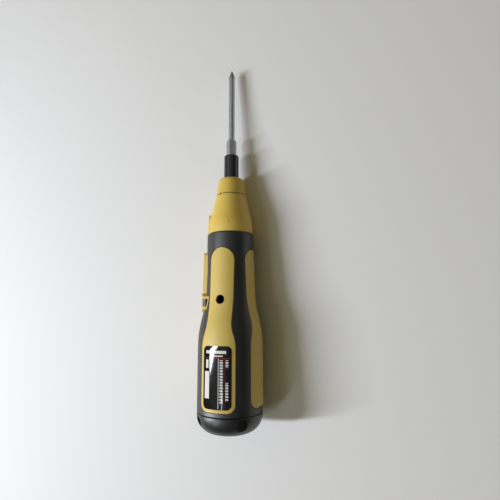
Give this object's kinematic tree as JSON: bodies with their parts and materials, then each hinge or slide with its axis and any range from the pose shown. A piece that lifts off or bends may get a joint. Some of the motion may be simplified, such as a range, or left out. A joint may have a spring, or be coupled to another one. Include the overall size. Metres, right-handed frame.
{
  "type": "cordless in-line screwdriver",
  "caption": "Slim cordless in-line screwdriver: ochre shells with dark rubber panels, a side rocker, a charging inlet, a turning lock ring and a long cross-tip bit.",
  "frame": {"origin": "centre of the end cap's flat rear face, on the tool's axis", "axes": "+Y along the tool towards the bit's tip, +Z out through the front panel with the label and the charging inlet, -X out through the rocker switch"},
  "size_m": [0.0444, 0.2586, 0.0446],
  "materials": {
    "shell_plastic": "ochre, finely grained",
    "grip_rubber": "charcoal, soft matt",
    "cap_plastic": "charcoal, satin",
    "label_black": "printed film, semi-gloss",
    "rocker_tan": "tan, satin",
    "black_steel": "black oxide",
    "bit_steel": "dark grey, satin",
    "screw_steel": "zinc plated",
    "bright_steel": "bright nickel plate",
    "rotor_steel": "laminated",
    "gear_steel": "sintered, oiled",
    "magnet_grey": "ferrite, matt",
    "nickel": "nickel plated",
    "copper": "bare copper",
    "bronze": "sintered bronze",
    "inner_plastic": "black moulding",
    "cell_wrap": "shrink film, blue",
    "board_green": "solder mask, green",
    "lead_red": "soft insulation",
    "lead_black": "soft insulation"
  },
  "bodies": {
    "body": {"front_shell": "shell_plastic", "back_shell": "shell_plastic", "front_grip": "grip_rubber", "back_grip": "grip_rubber", "label_plate": "label_black", "case_screws": "screw_steel", "rocker_pin": "screw_steel", "switch_skirt": "inner_plastic", "switch_body": "inner_plastic", "dc_socket": "inner_plastic", "dc_pin": "bright_steel", "battery_cage": "inner_plastic", "cell_a": "cell_wrap", "cell_b": "cell_wrap", "cell_c": "cell_wrap", "cell_links": "nickel", "contact_springs": "nickel", "circuit_board": "board_green", "board_parts": "inner_plastic", "lead_red": "lead_red", "lead_black": "lead_black", "motor_can": "bright_steel", "motor_end_bell": "inner_plastic", "motor_magnets": "magnet_grey", "brushes": "copper", "motor_terminals": "copper", "motor_plate": "bright_steel", "stage_washer": "bright_steel", "gear_case": "inner_plastic", "rear_bush": "bronze", "front_bush": "bronze", "nose_cone": "shell_plastic", "ring_clip": "bright_steel"},
    "rocker": {"rocker": "rocker_tan"},
    "lock_ring": {"lock_ring": "shell_plastic"},
    "cap_seal": {"cap_seal": "grip_rubber"},
    "rear_cap": {"rear_cap": "cap_plastic"},
    "spindle": {"spindle": "black_steel", "spindle_clip": "bright_steel", "bit_magnet": "nickel", "output_carrier": "gear_steel"},
    "bit": {"phillips_bit": "bit_steel"},
    "carrier_1": {"carrier_1": "gear_steel"},
    "rotor": {"motor_shaft": "bright_steel", "armature": "rotor_steel", "windings": "copper", "commutator": "copper", "pinion": "bronze"},
    "planet_1a": {"planet_1a": "gear_steel"},
    "planet_1b": {"planet_1b": "gear_steel"},
    "planet_1c": {"planet_1c": "gear_steel"},
    "planet_2a": {"planet_2a": "gear_steel"},
    "planet_2b": {"planet_2b": "gear_steel"},
    "planet_2c": {"planet_2c": "gear_steel"}
  },
  "joints": [
    {"name": "spindle_turn", "type": "hinge", "parent": "body", "child": "spindle", "pos_m": [0, 0.167, 0], "axis": [0, 1, 0], "continuous": true},
    {"name": "bit_pull", "type": "slide", "parent": "spindle", "child": "bit", "axis": [0, 1, 0], "range_m": [0, 0.0135]},
    {"name": "carrier_1_turn", "type": "hinge", "parent": "body", "child": "carrier_1", "pos_m": [0, 0.1342, 0], "axis": [0, 1, 0], "continuous": true},
    {"name": "rotor_turn", "type": "hinge", "parent": "body", "child": "rotor", "pos_m": [0, 0.1102, 0], "axis": [0, 1, 0], "continuous": true},
    {"name": "lock_ring_turn", "type": "hinge", "parent": "body", "child": "lock_ring", "pos_m": [0, 0.167, 0], "axis": [0, -1, 0], "range_deg": [0, 30]},
    {"name": "rocker_tilt", "type": "hinge", "parent": "body", "child": "rocker", "pos_m": [-0.0116, 0.0836, 0], "axis": [0, 1, 0], "range_deg": [-7, 7], "stiffness_Nm_per_rad": 0.2},
    {"name": "cap_turn", "type": "hinge", "parent": "body", "child": "cap_seal", "pos_m": [0, 0.0104, 0], "axis": [0, -1, 0], "range_deg": [0, 720]},
    {"name": "cap_out", "type": "slide", "parent": "cap_seal", "child": "rear_cap", "axis": [0, -1, 0], "range_m": [0, 0.005]},
    {"name": "planet_1a_turn", "type": "hinge", "parent": "carrier_1", "child": "planet_1a", "pos_m": [0, 0.1305, 0.006], "axis": [0, 1, 0], "continuous": true},
    {"name": "planet_1b_turn", "type": "hinge", "parent": "carrier_1", "child": "planet_1b", "pos_m": [0.0052, 0.1305, -0.003], "axis": [0, 1, 0], "continuous": true},
    {"name": "planet_1c_turn", "type": "hinge", "parent": "carrier_1", "child": "planet_1c", "pos_m": [-0.0052, 0.1305, -0.003], "axis": [0, 1, 0], "continuous": true},
    {"name": "planet_2a_turn", "type": "hinge", "parent": "spindle", "child": "planet_2a", "pos_m": [0, 0.1382, 0.006], "axis": [0, 1, 0], "continuous": true},
    {"name": "planet_2b_turn", "type": "hinge", "parent": "spindle", "child": "planet_2b", "pos_m": [0.0052, 0.1382, -0.003], "axis": [0, 1, 0], "continuous": true},
    {"name": "planet_2c_turn", "type": "hinge", "parent": "spindle", "child": "planet_2c", "pos_m": [-0.0052, 0.1382, -0.003], "axis": [0, 1, 0], "continuous": true}
  ],
  "couplings": [
    {"joint": "carrier_1_turn", "follows": "spindle_turn", "ratio": 5},
    {"joint": "rotor_turn", "follows": "spindle_turn", "ratio": 25},
    {"joint": "cap_out", "follows": "cap_turn", "m_per_rad": 0.00039789},
    {"joint": "planet_1a_turn", "follows": "spindle_turn", "ratio": -13.333},
    {"joint": "planet_1b_turn", "follows": "spindle_turn", "ratio": -13.333},
    {"joint": "planet_1c_turn", "follows": "spindle_turn", "ratio": -13.333},
    {"joint": "planet_2a_turn", "follows": "spindle_turn", "ratio": -2.6667},
    {"joint": "planet_2b_turn", "follows": "spindle_turn", "ratio": -2.6667},
    {"joint": "planet_2c_turn", "follows": "spindle_turn", "ratio": -2.6667}
  ]
}
